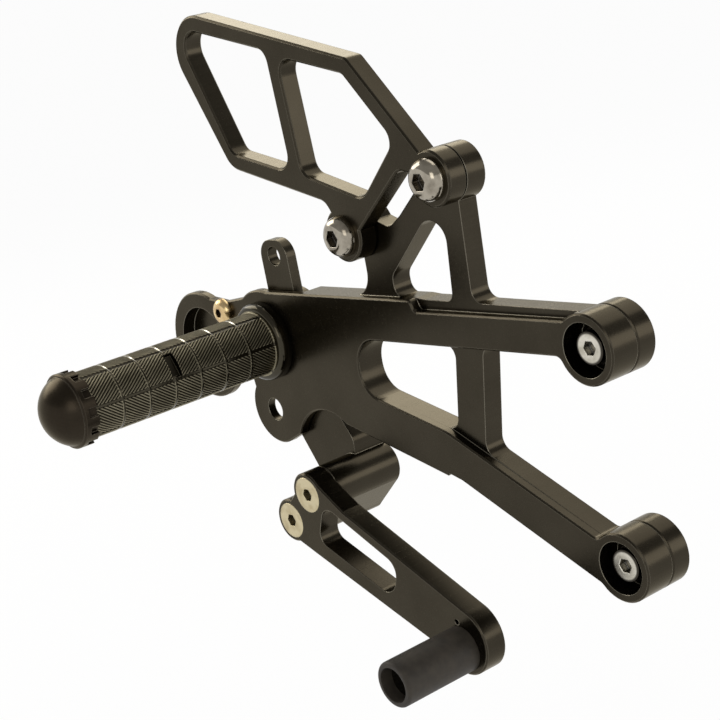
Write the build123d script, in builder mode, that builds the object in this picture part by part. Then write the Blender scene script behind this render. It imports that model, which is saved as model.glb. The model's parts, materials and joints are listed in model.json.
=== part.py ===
from build123d import *
import os

# Right-hand rear set of a motorbike: bracket, footpeg, heel guard and brake lever.
# +X is forward, +Y is inboard and +Z is up. The origin lies midway between the two
# mount bolts, on the plane where the spacers meet the bike's frame.
# Depths below are measured inboard from the bracket's front face.

os.makedirs("parts", exist_ok=True)

# Layers, measured along Y
front_layer_t = 3.0
bracket_t = 10.0
spacer_t = 8.0
guard_t = 7.0
mount_depth = bracket_t + spacer_t

# Mount to the bike's frame
mount_pitch = 64.0
boss_r = 10.5
counterbore_r = 8.0
counterbore_depth = 7.6
m6_r = 3.0
m6_hole_r = 3.3
m6_head_r = 5.0
m6_head_h = 4.0
m6_hex = 4.0
m6_washer_r = 6.0
m6_washer_bore_r = 3.2
m6_washer_t = 1.6
m6_grip_r = 2.7
mount_bolt_len = 18.0

# Plain shanks stand for threads, with this gap to the hole around them
thread_gap = 0.03

# Bracket outline
arm_rise = 8.0
arm_drop = 2.5
plate_step = 3.5
window_left = -102.5
rib_w = 12.1
lobe_behind = 3.5
lobe_drop = 25.0
lobe_r = 12.2
lobe_hole_r = 4.0
scallop_ahead = 24.3
scallop_drop = 40.7
scallop_r = 17.6
boss_fillet = 3.0
plate_edge = 0.5
guard_edge = 0.6
spacer_edge = 0.8

# Footpeg and its pivot journal
peg_x = -150.5
peg_z = 26.5
peg_r = 11.0
peg_len = 75.0
peg_flange_r = 13.5
peg_flange_t = 4.5
peg_panel_count = 6
peg_groove_turn = 3.0
peg_groove_w = 1.0
peg_groove_depth = 0.5
peg_ring_count = 6
peg_ring_w = 1.4
peg_ring_depth = 0.5
peg_slot_at = 42.1
peg_slot_turn = 30.0
peg_slot_len = 8.4
peg_slot_w = 3.4
peg_slot_depth = 2.0
cap_r = 12.3
cap_collar_t = 5.2
cap_dome_r = 11.4
cap_dome_h = 7.8
cap_notch_count = 12
cap_notch_len = 3.2
cap_notch_w = 3.0
cap_notch_depth = 1.3
cap_spigot_r = 5.0
cap_spigot_len = 12.0
m8_r = 4.0
m8_hole_r = 4.2
m8_head_r = 6.5
m8_head_h = 4.4
m8_hex = 5.0
m8_grip_r = 3.6
pivot_bolt_len = 35.0
journal_r = 9.0
journal_len = 14.0
pivot_washer_r = 12.5
pivot_washer_t = 2.0

# Brake lever
lever_gap = 0.5
hub_r = 15.0
hub_clear = 2.0
pocket_clear = 7.0
bush_wall = 2.0
bush_running_gap = 0.04
bush_end_gap = 0.1
tab_t = 3.8
tab_w = 14.4
tab_top = 5.6
tab_hole_r = 3.3
tab_hole_ahead = 9.0
tab_hole_rise = 28.7
block_front = -10.0
block_ahead = 30.5
block_drop = 46.0
screw_step_x = 12.0
screw_step_z = 10.5

# Toe lever and toe peg
toe_t = 7.5
toe_ahead = 65.5
toe_drop = 38.7
toe_r = 11.0
toe_edge = 0.5
csk_head_r = 6.0
csk_hex = 4.0
csk_len = 20.0
csk_clear = 0.05
lobe_up_r = 7.4
lobe_low_r = 7.4
toe_pin_r = 5.5
toe_pin_len = 24.4
toe_pin_drop = 2.2
toe_rubber_r = 7.3
toe_rubber_end = 4.0
toe_rubber_gap = 0.05
toe_mark_r = 0.9
toe_mark_out = 6.3
toe_screw_len = 20.0
toe_screw_head_r = 5.25
toe_screw_head_h = 3.3

# Heel guard screws
ear_up_x = -46.5
ear_rise = 38.0
ear_step_x = 45.5
ear_step_z = 17.0
ear_r = 8.5
guard_reach = 82.2
guard_rise = 79.5
guard_screw_len = 18.0

# Rear lug
lug_r = 19.4
lug_behind = 38.9
lug_drop = 4.0
lug_pocket_r = 13.9
lug_pocket_depth = 5.0
lug_cup_wall = 2.0
m5_r = 2.5
m5_head_r = 4.75
m5_head_h = 2.75
m5_hex = 3.0
lug_bolt_len = 12.0
lug_bolt_behind = 22.3
lug_bolt_rise = 9.2

# Places that follow from the values above
mount_z = mount_pitch / 2
arm_top = mount_z + arm_rise
arm_low = mount_z - arm_drop
plate_top = arm_top + plate_step
lever_t = journal_len - 2 * lever_gap
lobe_x = peg_x - lobe_behind
lobe_z = peg_z - lobe_drop
pocket_x = peg_x + hub_r + pocket_clear
tab_hole_x = peg_x + tab_hole_ahead
tab_hole_z = peg_z + tab_hole_rise
screw_up_x = peg_x + block_ahead
screw_up_z = peg_z - block_drop
screw_low_x = screw_up_x - screw_step_x
screw_low_z = screw_up_z - screw_step_z
toe_x = screw_up_x + toe_ahead
toe_z = screw_up_z - toe_drop
pin_z = toe_z - toe_pin_drop
ear_up_z = plate_top + ear_rise
ear_low_x = ear_up_x - ear_step_x
ear_low_z = ear_up_z - ear_step_z
lug_x = peg_x - lug_behind
lug_z = peg_z - lug_drop
lug_bolt_x = peg_x - lug_bolt_behind
lug_bolt_z = peg_z + lug_bolt_rise


def layer(depth):
    """Sketch plane at a depth behind the bracket's front face; its axes are the part's X and Z."""
    return Plane.XZ.offset(mount_depth - depth)


def spot(depth, x, z):
    """Sketch plane at a depth with its origin at the part's x and z."""
    return Plane(origin=(x, depth - mount_depth, z), x_dir=(1, 0, 0), z_dir=(0, -1, 0))


def near_bosses(sketch):
    """Corners where the arms meet the mount bosses, on the side that faces the peg."""
    found = []
    for v in sketch.vertices():
        for z in (mount_z, -mount_z):
            if abs(((v.X) ** 2 + (v.Y - z) ** 2) ** 0.5 - boss_r) < 0.01 and v.X < -boss_r / 3:
                found.append(v)
    return found


# Bracket. The front layer is a slim face; the back layer carries the ear and the rib.
with BuildPart() as main_bracket:
    # Front layer: the plate round the peg and the two arms
    with BuildSketch(layer(0)) as front:
        with BuildLine():
            FilletPolyline(
                (peg_x, plate_top),
                (-71, plate_top),
                (-69.5, arm_top),
                (0, arm_top),
                (0, arm_low),
                (window_left, arm_low),
                (window_left, 11.5),
                (-65, 2),
                (0, -mount_z + 4.1),
                (0, -mount_z - 10.1),
                (-62, -13.5),
                (-67.2, -12),
                (-68.2, -12.7),
                (peg_x + 33.5, peg_z - 26.5),
                (peg_x + 8.5, peg_z - 33),
                (peg_x + 0.5, peg_z - 36.5),
                (peg_x - 13, peg_z - 17.5),
                (peg_x - 15.5, peg_z - 0.5),
                (peg_x - 5.5, peg_z + 13),
                radius=[0, 1.5, 1.5, 0, 0, 10, 9, 20, 0, 0, 0, 0, 0, 0, 0, 0, 0, 8, 4],
                close=True,
            )
        make_face()
        with Locations((lobe_x, lobe_z)):
            Circle(lobe_r)
        with Locations((0, mount_z), (0, -mount_z)):
            Circle(boss_r)
        with Locations((peg_x + scallop_ahead, peg_z - scallop_drop)):
            Circle(scallop_r, mode=Mode.SUBTRACT)
        fillet(near_bosses(front), boss_fillet)
    extrude(amount=-front_layer_t)
    # Back layer: plate, arms and bosses, with the window and the rib
    rib_top = -44.7
    rib_foot = -51.6
    with BuildSketch(layer(front_layer_t)) as back:
        with BuildLine():
            FilletPolyline(
                (pocket_x, plate_top),
                (-71, plate_top),
                (-66, plate_top - 0.5),
                (0, mount_z + boss_r - 0.2),
                (0, arm_low),
                (rib_top, arm_low),
                (rib_foot, -3.9),
                (0, -mount_z + 4.1),
                (0, -mount_z - 10.1),
                (-62, -13.5),
                (-67.2, -12),
                (-68.2, -12.7),
                (peg_x + 40.5, peg_z - 28.3),
                (pocket_x, peg_z - 4.5),
                radius=[1, 0, 0, 0, 0, 4, 4.5, 0, 0, 0, 0, 0, 0, 6],
                close=True,
            )
        make_face()
        with Locations((0, mount_z), (0, -mount_z)):
            Circle(boss_r)
        fillet([v for v in near_bosses(back) if v.Y < mount_z], boss_fillet)
        with BuildLine():
            FilletPolyline(
                (window_left, arm_low),
                (rib_top - rib_w, arm_low),
                (rib_foot - 11, 1.4),
                (window_left, 11.5),
                radius=[10, 4, 4, 9],
                close=True,
            )
        make_face(mode=Mode.SUBTRACT)
    extrude(amount=-(bracket_t - front_layer_t))
    # Ear for the heel guard, in the back layer only
    with BuildSketch(layer(front_layer_t)):
        with BuildLine():
            FilletPolyline(
                (ear_low_x - 18, arm_top),
                (ear_low_x - 18, plate_top - 0.2),
                (ear_low_x - 0.6, plate_top - 0.2),
                (ear_low_x - 0.3, ear_low_z - 2.5),
                (ear_low_x + 6, ear_low_z + 4),
                (ear_low_x + 14.5, ear_low_z + 0.8),
                (ear_low_x + 20.5, ear_low_z + 4.6),
                (ear_up_x - 8.5, ear_up_z + 0.9),
                (ear_up_x + 2.9, ear_up_z - 5.5),
                (ear_up_x + 0.9, plate_top - 0.7),
                (ear_up_x + 10.5, plate_top - 0.8),
                (ear_up_x + 10.5, arm_top),
                radius=[0, 0, 8, 0, 0, 4, 0, 0, 0, 4, 0, 0],
                close=True,
            )
        make_face()
        with Locations((ear_up_x, ear_up_z), (ear_low_x, ear_low_z)):
            Circle(ear_r)
        with BuildLine():
            FilletPolyline(
                (ear_low_x + 11.5, plate_top - 0.3),
                (ear_low_x + 11.5, plate_top + 6.5),
                (ear_up_x - 4.1, ear_up_z - 4.7),
                (ear_up_x - 7.7, plate_top - 0.5),
                radius=[4, 4, 6.2, 3],
                close=True,
            )
        make_face(mode=Mode.SUBTRACT)
    extrude(amount=-(bracket_t - front_layer_t))
    # Round rear lug in the front layer, with a shallow cup behind it
    with BuildSketch(layer(0)):
        with BuildLine():
            Polyline(
                (peg_x - 6.5, peg_z + 15),
                (lug_bolt_x, lug_bolt_z + 3.4),
                (lug_x, lug_z + lug_r - 1),
                (lug_x, peg_z - 13.5),
                (peg_x - 9.5, peg_z - 13.5),
                close=True,
            )
        make_face()
        with Locations((lug_x, lug_z)):
            Circle(lug_r)
    extrude(amount=-front_layer_t)
    with BuildSketch(layer(front_layer_t)):
        with Locations((lug_x, lug_z)):
            Circle(lug_pocket_r + lug_cup_wall)
    extrude(amount=-(lug_pocket_depth + lug_cup_wall - front_layer_t))
    with BuildSketch(layer(0)):
        with Locations((lug_x, lug_z)):
            Circle(lug_pocket_r)
    extrude(amount=-lug_pocket_depth, mode=Mode.SUBTRACT)
    # Plate round the peg and the journal behind it
    with BuildSketch(layer(0)):
        with Locations((peg_x, peg_z)):
            Circle(hub_r + hub_clear + 0.5)
    extrude(amount=-front_layer_t)
    with BuildSketch(layer(front_layer_t)):
        with Locations((peg_x, peg_z)):
            Circle(journal_r)
    extrude(amount=-journal_len)
    # Holes
    with BuildSketch(layer(0)):
        with Locations((peg_x, peg_z)):
            Circle(m8_hole_r)
        with Locations((lobe_x, lobe_z)):
            Circle(lobe_hole_r)
        with Locations((0, mount_z), (0, -mount_z)):
            Circle(m6_hole_r)
        with Locations((lug_bolt_x, lug_bolt_z)):
            Circle(m5_r + thread_gap)
        with Locations((ear_up_x, ear_up_z), (ear_low_x, ear_low_z)):
            Circle(m8_hole_r)
    extrude(amount=-(front_layer_t + journal_len), mode=Mode.SUBTRACT)
    with BuildSketch(layer(0)):
        with Locations((0, mount_z), (0, -mount_z)):
            Circle(counterbore_r)
    extrude(amount=-counterbore_depth, mode=Mode.SUBTRACT)
    # Broken edges round the front face
    bracket_face = main_bracket.faces().sort_by(Axis.Y)[0]
    chamfer(bracket_face.outer_wire().edges(), plate_edge)
main_bracket.part.label = "main_bracket"
export_step(main_bracket.part, "parts/main_bracket.step")

# Mount bolts, washers and spacers
head_depth = counterbore_depth - m6_washer_t - m6_head_h
for side, z in (("upper", mount_z), ("lower", -mount_z)):
    with BuildPart() as mount_bolt:
        with BuildSketch(spot(head_depth, 0, z)):
            Circle(m6_head_r)
        extrude(amount=-m6_head_h)
        chamfer(mount_bolt.edges().sort_by(Axis.Y)[0], 0.4)
        # The grip inside the bracket is slimmer than the threaded free end
        grip = mount_depth - head_depth - m6_head_h
        with BuildSketch(spot(head_depth + m6_head_h, 0, z)):
            Circle(m6_grip_r)
        extrude(amount=-grip)
        with BuildSketch(spot(mount_depth, 0, z)):
            Circle(m6_r)
        extrude(amount=-(mount_bolt_len - grip))
        chamfer(mount_bolt.edges().sort_by(Axis.Y)[-1], 0.6)
        with BuildSketch(spot(head_depth, 0, z)):
            RegularPolygon(m6_hex / 2, 6, major_radius=False)
        extrude(amount=-m6_head_h * 0.6, mode=Mode.SUBTRACT)
    mount_bolt.part.label = "mount_bolt_" + side
    export_step(mount_bolt.part, "parts/mount_bolt_" + side + ".step")

    with BuildPart() as mount_washer:
        with BuildSketch(spot(counterbore_depth - m6_washer_t, 0, z)):
            Circle(m6_washer_r)
            Circle(m6_washer_bore_r, mode=Mode.SUBTRACT)
        extrude(amount=-m6_washer_t)
    mount_washer.part.label = "mount_washer_" + side
    export_step(mount_washer.part, "parts/mount_washer_" + side + ".step")

    with BuildPart() as mount_spacer:
        with BuildSketch(spot(bracket_t, 0, z)):
            Circle(boss_r)
            Circle(m6_hole_r, mode=Mode.SUBTRACT)
        extrude(amount=-spacer_t)
        chamfer(mount_spacer.edges().filter_by(GeomType.CIRCLE).sort_by(SortBy.RADIUS)[-2:], spacer_edge)
    mount_spacer.part.label = "mount_spacer_" + side
    export_step(mount_spacer.part, "parts/mount_spacer_" + side + ".step")

# Heel guard
guard_front = front_layer_t - guard_t
with BuildPart() as heel_guard:
    with BuildSketch(layer(guard_front)):
        with BuildLine():
            FilletPolyline(
                (ear_low_x - guard_reach, ear_low_z + guard_rise),
                (ear_up_x - 28, ear_low_z + guard_rise - 25.7),
                (ear_up_x - 2.7, ear_up_z + ear_r - 0.9),
                (ear_up_x, ear_up_z),
                (ear_up_x - 13.5, ear_up_z + 2.9),
                (ear_low_x + 6.5, ear_low_z),
                (ear_low_x, ear_low_z),
                (ear_low_x - 6, ear_low_z + 10.7),
                (ear_low_x - guard_reach + 29.5, ear_low_z + 22.4),
                radius=[12.5, 3, 0, 0, 4, 0, 0, 6, 8],
                close=True,
            )
        make_face()
        with Locations((ear_up_x, ear_up_z), (ear_low_x, ear_low_z)):
            Circle(ear_r)
        with BuildLine():
            FilletPolyline(
                (ear_low_x - guard_reach + 12.8, ear_low_z + guard_rise - 9.2),
                (ear_low_x - 21.8, ear_low_z + guard_rise - 20.7),
                (ear_low_x - 20.5, ear_low_z + 20.3),
                (ear_low_x - guard_reach + 31.9, ear_low_z + 27.2),
                radius=[6, 5, 5, 5],
                close=True,
            )
        make_face(mode=Mode.SUBTRACT)
        with BuildLine():
            FilletPolyline(
                (ear_low_x - 16.2, ear_low_z + guard_rise - 23),
                (ear_up_x - 31.5, ear_low_z + guard_rise - 30.2),
                (ear_up_x - 13.5, ear_up_z + 11.5),
                (ear_low_x + 13, ear_low_z + 11.5),
                (ear_low_x - 14.7, ear_low_z + 19.5),
                radius=[5, 4, 4.5, 6, 5],
                close=True,
            )
        make_face(mode=Mode.SUBTRACT)
        with Locations((ear_up_x, ear_up_z), (ear_low_x, ear_low_z)):
            Circle(m8_hole_r, mode=Mode.SUBTRACT)
    extrude(amount=-guard_t)
    chamfer(heel_guard.faces().sort_by(Axis.Y)[0].edges(), guard_edge)
    chamfer(heel_guard.faces().sort_by(Axis.Y)[-1].edges(), guard_edge)
heel_guard.part.label = "heel_guard"
export_step(heel_guard.part, "parts/heel_guard.step")

for side, x, z in (("upper", ear_up_x, ear_up_z), ("lower", ear_low_x, ear_low_z)):
    with BuildPart() as guard_screw:
        with BuildSketch(spot(guard_front, x, z)):
            Circle(m8_head_r)
        extrude(amount=m8_head_h)
        fillet(guard_screw.edges().sort_by(Axis.Y)[0], m8_head_h * 0.7)
        with BuildSketch(spot(guard_front, x, z)):
            Circle(m8_grip_r)
        extrude(amount=-(bracket_t - guard_front))
        with BuildSketch(spot(bracket_t, x, z)):
            Circle(m8_r)
        extrude(amount=-(guard_screw_len - bracket_t + guard_front))
        chamfer(guard_screw.edges().sort_by(Axis.Y)[-1], 0.8)
        with BuildSketch(spot(guard_front - m8_head_h, x, z)):
            RegularPolygon(m8_hex / 2, 6, major_radius=False)
        extrude(amount=-m8_head_h * 0.6, mode=Mode.SUBTRACT)
    guard_screw.part.label = "heel_guard_screw_" + side
    export_step(guard_screw.part, "parts/heel_guard_screw_" + side + ".step")

# Footpeg
with BuildPart() as footpeg:
    with BuildSketch(spot(0, peg_x, peg_z)):
        Circle(peg_flange_r)
    extrude(amount=peg_flange_t)
    fillet(footpeg.edges().sort_by(Axis.Y)[0], 2.0)
    with BuildSketch(spot(0, peg_x, peg_z)):
        Circle(peg_r)
    extrude(amount=peg_len)
    # Grooves along the bar part the gripping panels
    with BuildSketch(spot(-peg_flange_t, peg_x, peg_z)):
        with PolarLocations(peg_r, peg_panel_count, start_angle=peg_groove_turn):
            Rectangle(2 * peg_groove_depth, peg_groove_w)
    extrude(amount=peg_len - peg_flange_t, mode=Mode.SUBTRACT)
    # Ring grooves cut the panels to equal lengths
    panel_len = (peg_len - peg_flange_t) / (peg_ring_count + 1)
    for i in range(peg_ring_count):
        ring_depth = peg_ring_w / 2 - peg_flange_t - panel_len * (i + 1)
        with BuildSketch(spot(ring_depth, peg_x, peg_z)):
            Circle(peg_r)
            Circle(peg_r - peg_ring_depth, mode=Mode.SUBTRACT)
        extrude(amount=peg_ring_w, mode=Mode.SUBTRACT)
    # Deep slot across one panel
    with BuildSketch(spot(-peg_slot_at, peg_x, peg_z)):
        with PolarLocations(peg_r, 1, start_angle=peg_slot_turn):
            Rectangle(2 * peg_slot_depth, peg_slot_len)
    extrude(amount=peg_slot_w, mode=Mode.SUBTRACT)
    # Threaded hole for the pivot bolt and bore for the cap
    with BuildSketch(spot(0, peg_x, peg_z)):
        Circle(m8_r + thread_gap)
    extrude(amount=pivot_bolt_len - journal_len, mode=Mode.SUBTRACT)
    with BuildSketch(spot(-peg_len, peg_x, peg_z)):
        Circle(cap_spigot_r + thread_gap)
    extrude(amount=-cap_spigot_len - 1, mode=Mode.SUBTRACT)
footpeg.part.label = "footpeg"
export_step(footpeg.part, "parts/footpeg.step")

with BuildPart() as footpeg_cap:
    with BuildSketch(spot(-peg_len, peg_x, peg_z)):
        Circle(cap_r)
    extrude(amount=cap_collar_t)
    chamfer(footpeg_cap.edges().sort_by(Axis.Y)[0], 0.5)
    with BuildSketch(spot(-peg_len, peg_x, peg_z)):
        with PolarLocations(cap_r, cap_notch_count):
            Rectangle(2 * cap_notch_depth, cap_notch_w)
    extrude(amount=cap_notch_len, mode=Mode.SUBTRACT)
    # Dome
    dome_y = -mount_depth - peg_len - cap_collar_t
    with BuildSketch(Plane((peg_x, dome_y, peg_z), x_dir=(1, 0, 0), z_dir=(0, 0, 1))):
        with BuildLine():
            TangentArc((0, -cap_dome_h), (cap_dome_r, 0), tangent=(1, 0))
            Polyline((cap_dome_r, 0), (0, 0), (0, -cap_dome_h))
        make_face()
    revolve(axis=Axis((peg_x, 0, peg_z), (0, 1, 0)))
    with BuildSketch(spot(-peg_len, peg_x, peg_z)):
        Circle(cap_spigot_r)
    extrude(amount=-cap_spigot_len)
footpeg_cap.part.label = "footpeg_cap"
export_step(footpeg_cap.part, "parts/footpeg_cap.step")

# Pivot bolt and washer, from the inboard side
washer_depth = front_layer_t + journal_len
with BuildPart() as pivot_washer:
    with BuildSketch(spot(washer_depth, peg_x, peg_z)):
        Circle(pivot_washer_r)
        Circle(m8_hole_r, mode=Mode.SUBTRACT)
    extrude(amount=-pivot_washer_t)
    chamfer(pivot_washer.edges().sort_by(Axis.Y)[-1], 0.4)
pivot_washer.part.label = "pivot_washer"
export_step(pivot_washer.part, "parts/pivot_washer.step")

bolt_seat = washer_depth + pivot_washer_t
with BuildPart() as pivot_bolt:
    with BuildSketch(spot(bolt_seat, peg_x, peg_z)):
        Circle(m8_head_r)
    extrude(amount=-m8_head_h)
    fillet(pivot_bolt.edges().sort_by(Axis.Y)[-1], m8_head_h * 0.7)
    with BuildSketch(spot(bolt_seat, peg_x, peg_z)):
        Circle(m8_r)
    extrude(amount=pivot_bolt_len)
    chamfer(pivot_bolt.edges().sort_by(Axis.Y)[0], 0.8)
    with BuildSketch(spot(bolt_seat + m8_head_h, peg_x, peg_z)):
        RegularPolygon(m8_hex / 2, 6, major_radius=False)
    extrude(amount=m8_head_h * 0.6, mode=Mode.SUBTRACT)
pivot_bolt.part.label = "pivot_bolt"
export_step(pivot_bolt.part, "parts/pivot_bolt.step")

# Brake lever: hub, tab, arm and block in one piece
lever_front = front_layer_t + lever_gap
lever_back = lever_front + lever_t
bush_r = journal_r + bush_wall
with BuildPart() as brake_lever:
    with BuildSketch(spot(lever_front, peg_x, peg_z)):
        Circle(hub_r)
    extrude(amount=-lever_t)
    with BuildSketch(layer(lever_front)):
        with BuildLine():
            FilletPolyline(
                (tab_hole_x - tab_w / 2, peg_z),
                (tab_hole_x - tab_w / 2, tab_hole_z + tab_top),
                (tab_hole_x + tab_w / 2, tab_hole_z + tab_top),
                (tab_hole_x + tab_w / 2, peg_z),
                radius=[0, 6, 6, 0],
                close=True,
            )
        make_face()
    extrude(amount=-tab_t)
    # Arm from the hub down to the block
    with BuildSketch(layer(lever_front)):
        with BuildLine():
            FilletPolyline(
                (peg_x - hub_r + 1.6, peg_z - 6.5),
                (peg_x + 4.5, screw_up_z + 10.5),
                (screw_low_x - 4, screw_low_z + 4),
                (screw_up_x + 1, screw_up_z + 1.5),
                (screw_up_x + 2.2, screw_up_z + 12.5),
                (peg_x + hub_r - 1, peg_z - 4.5),
                radius=[0, 6, 0, 0, 5, 0],
                close=True,
            )
        make_face()
    extrude(amount=-lever_t)
    # Block that carries the toe lever
    with BuildSketch(layer(block_front)):
        with BuildLine():
            Polyline(
                (screw_up_x - 3, screw_up_z + 3.4),
                (screw_low_x - 3, screw_low_z + 3.4),
                (screw_low_x + 5.2, screw_low_z - 5.2),
                (screw_up_x + 5.2, screw_up_z - 5.3),
                close=True,
            )
        make_face()
        with Locations((screw_up_x, screw_up_z)):
            Circle(lobe_up_r)
        with Locations((screw_low_x, screw_low_z)):
            Circle(lobe_low_r)
    extrude(amount=-(lever_back - block_front))
    with BuildSketch(spot(lever_front, peg_x, peg_z)):
        Circle(bush_r)
    extrude(amount=-lever_t, mode=Mode.SUBTRACT)
    with BuildSketch(spot(lever_front, tab_hole_x, tab_hole_z)):
        Circle(tab_hole_r)
    extrude(amount=-tab_t, mode=Mode.SUBTRACT)
    with BuildSketch(layer(block_front)):
        with Locations((screw_up_x, screw_up_z), (screw_low_x, screw_low_z)):
            Circle(m6_r + thread_gap)
    extrude(amount=-(csk_len - toe_t + 2), mode=Mode.SUBTRACT)
brake_lever.part.label = "brake_lever"
export_step(brake_lever.part, "parts/brake_lever.step")

# Two bronze bushes pressed into the hub; they run on the journal and take the end thrust
bush_first = front_layer_t + bush_end_gap
bush_last = washer_depth - bush_end_gap
bush_mid = (bush_first + bush_last) / 2
for side, a, b in (("front", bush_first, bush_mid - 0.5), ("rear", bush_mid + 0.5, bush_last)):
    with BuildPart() as lever_bush:
        with BuildSketch(spot(a, peg_x, peg_z)):
            Circle(bush_r)
            Circle(journal_r + bush_running_gap, mode=Mode.SUBTRACT)
        extrude(amount=-(b - a))
    lever_bush.part.label = "lever_bush_" + side
    export_step(lever_bush.part, "parts/lever_bush_" + side + ".step")

# Toe lever
toe_front = block_front - toe_t
with BuildPart() as toe_lever:
    with BuildSketch(layer(toe_front)):
        with BuildLine():
            Polyline(
                (screw_up_x + 3, screw_up_z + lobe_up_r - 1.2),
                (screw_up_x + 17, screw_up_z - 3.5),
                (toe_x + 0.43 * toe_r, toe_z + 0.9 * toe_r),
                (toe_x - 4.4, toe_z - 0.62 * toe_r),
                (screw_low_x + 10, screw_low_z - 10.3),
                (screw_low_x + 2, screw_low_z - lobe_low_r + 0.3),
                (screw_low_x - 3, screw_low_z + 3.4),
                (screw_up_x - 3, screw_up_z + 3.4),
                close=True,
            )
        make_face()
        with Locations((toe_x, toe_z)):
            Circle(toe_r)
        with Locations((screw_up_x, screw_up_z)):
            Circle(lobe_up_r)
        with Locations((screw_low_x, screw_low_z)):
            Circle(lobe_low_r)
    extrude(amount=-toe_t)
    with BuildSketch(layer(toe_front)):
        with BuildLine():
            FilletPolyline(
                (screw_up_x + 7.5, screw_up_z - 2.3),
                (toe_x - 25, toe_z + 20.4),
                (toe_x - 29.5, toe_z + 8.5),
                (screw_low_x + 13.5, screw_low_z - 5.2),
                radius=[5, 5, 6, 4],
                close=True,
            )
        make_face()
        with Locations((toe_x, pin_z)):
            Circle(m6_hole_r)
        with Locations((screw_up_x, screw_up_z), (screw_low_x, screw_low_z)):
            Circle(m6_hole_r)
    extrude(amount=-toe_t, mode=Mode.SUBTRACT)
    # Small detent hole beside the toe peg
    with BuildSketch(layer(toe_front)):
        with Locations((toe_x - 0.1 * toe_mark_out, toe_z + toe_mark_out)):
            Circle(toe_mark_r)
    extrude(amount=-2, mode=Mode.SUBTRACT)
    # Countersinks
    with BuildSketch(layer(toe_front)):
        with Locations((screw_up_x, screw_up_z), (screw_low_x, screw_low_z)):
            Circle(csk_head_r + csk_clear)
    extrude(amount=-(csk_head_r + csk_clear - m6_r), taper=45, mode=Mode.SUBTRACT)
    # Broken edges round the front face
    toe_face = toe_lever.faces().sort_by(Axis.Y)[0]
    chamfer(toe_face.outer_wire().edges(), toe_edge)
toe_lever.part.label = "toe_lever"
export_step(toe_lever.part, "parts/toe_lever.step")

csk_h = csk_head_r - m6_r
for side, x, z in (("upper", screw_up_x, screw_up_z), ("lower", screw_low_x, screw_low_z)):
    with BuildPart() as toe_screw:
        with BuildSketch(spot(toe_front, x, z)):
            Circle(csk_head_r)
        extrude(amount=-csk_h + 0.01, taper=45)
        with BuildSketch(spot(toe_front + 1, x, z)):
            Circle(m6_r)
        extrude(amount=-(csk_len - 1))
        chamfer(toe_screw.edges().sort_by(Axis.Y)[-1], 0.6)
        with BuildSketch(spot(toe_front, x, z)):
            RegularPolygon(csk_hex / 2, 6, major_radius=False)
        extrude(amount=-2.5, mode=Mode.SUBTRACT)
    toe_screw.part.label = "toe_lever_screw_" + side
    export_step(toe_screw.part, "parts/toe_lever_screw_" + side + ".step")

# Toe peg: pin, open-ended rubber sleeve and the screw from behind
with BuildPart() as toe_peg:
    with BuildSketch(spot(toe_front, toe_x, pin_z)):
        Circle(toe_pin_r)
    extrude(amount=toe_pin_len)
    chamfer(toe_peg.edges().sort_by(Axis.Y)[0], 0.5)
    with BuildSketch(spot(toe_front, toe_x, pin_z)):
        Circle(m6_r + thread_gap)
    extrude(amount=toe_screw_len - toe_t + 1, mode=Mode.SUBTRACT)
toe_peg.part.label = "toe_peg"
export_step(toe_peg.part, "parts/toe_peg.step")

with BuildPart() as toe_peg_rubber:
    with BuildSketch(spot(toe_front, toe_x, pin_z)):
        Circle(toe_rubber_r)
    extrude(amount=toe_pin_len + toe_rubber_end)
    fillet(toe_peg_rubber.edges().sort_by(Axis.Y)[0], 1.0)
    with BuildSketch(spot(toe_front, toe_x, pin_z)):
        Circle(toe_pin_r + toe_rubber_gap)
    extrude(amount=toe_pin_len + toe_rubber_end, mode=Mode.SUBTRACT)
toe_peg_rubber.part.label = "toe_peg_rubber"
export_step(toe_peg_rubber.part, "parts/toe_peg_rubber.step")

with BuildPart() as toe_peg_screw:
    with BuildSketch(spot(block_front, toe_x, pin_z)):
        Circle(toe_screw_head_r)
    extrude(amount=-toe_screw_head_h)
    fillet(toe_peg_screw.edges().sort_by(Axis.Y)[-1], toe_screw_head_h * 0.7)
    with BuildSketch(spot(block_front, toe_x, pin_z)):
        Circle(m6_r)
    extrude(amount=toe_screw_len)
    chamfer(toe_peg_screw.edges().sort_by(Axis.Y)[0], 0.6)
    with BuildSketch(spot(block_front + toe_screw_head_h, toe_x, pin_z)):
        RegularPolygon(m6_hex / 2, 6, major_radius=False)
    extrude(amount=toe_screw_head_h * 0.6, mode=Mode.SUBTRACT)
toe_peg_screw.part.label = "toe_peg_screw"
export_step(toe_peg_screw.part, "parts/toe_peg_screw.step")

# Bolt on the rear lug
with BuildPart() as rear_lug_bolt:
    with BuildSketch(spot(0, lug_bolt_x, lug_bolt_z)):
        Circle(m5_head_r)
    extrude(amount=m5_head_h)
    fillet(rear_lug_bolt.edges().sort_by(Axis.Y)[0], m5_head_h * 0.7)
    with BuildSketch(spot(0, lug_bolt_x, lug_bolt_z)):
        Circle(m5_r)
    extrude(amount=-lug_bolt_len)
    chamfer(rear_lug_bolt.edges().sort_by(Axis.Y)[-1], 0.5)
    with BuildSketch(spot(-m5_head_h, lug_bolt_x, lug_bolt_z)):
        RegularPolygon(m5_hex / 2, 6, major_radius=False)
    extrude(amount=-m5_head_h * 0.6, mode=Mode.SUBTRACT)
rear_lug_bolt.part.label = "rear_lug_bolt"
export_step(rear_lug_bolt.part, "parts/rear_lug_bolt.step")
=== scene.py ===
# %% [markdown]
# # A motorbike rear set, dressed for its picture
# The solids of the rear set come packed as one fixed frame: bracket, footpeg, heel guard and
# brake lever, each where it belongs. This lesson gives them their finishes, cuts the knurl of the
# footpeg and the threads of the open screws as real geometry, and sets up the camera and the light.
# Everything is in metres.

# %% Load the frame
import json
import math

import bmesh
import bpy
from mathutils import Matrix, Vector


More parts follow.
